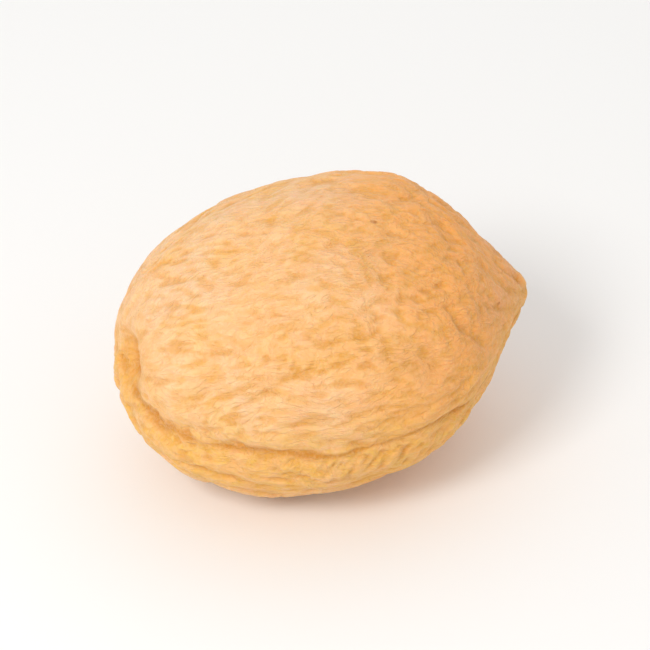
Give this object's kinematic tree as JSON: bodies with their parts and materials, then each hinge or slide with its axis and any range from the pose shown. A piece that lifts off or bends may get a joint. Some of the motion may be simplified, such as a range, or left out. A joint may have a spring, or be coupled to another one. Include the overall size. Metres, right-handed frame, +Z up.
{
  "type": "whole dried apricot",
  "caption": "Whole dried apricot lying on its cheek: egg-shaped, with a blunt tip, a hollow where the stem was, a suture crease along its side and finely wrinkled, velvety skin.",
  "frame": {"origin": "on the ground, at the centre of the bottom of the fruit's box", "axes": "+X from the stem hollow to the tip, -Y towards the suture side, +Z up, out of the upper cheek"},
  "size_m": [0.0324, 0.0256, 0.0215],
  "materials": {
    "dried_skin": "matt, velvety dried skin, peach-tan with ochre in the creases"
  },
  "bodies": {
    "root": {"apricot": "dried_skin"}
  },
  "joints": []
}
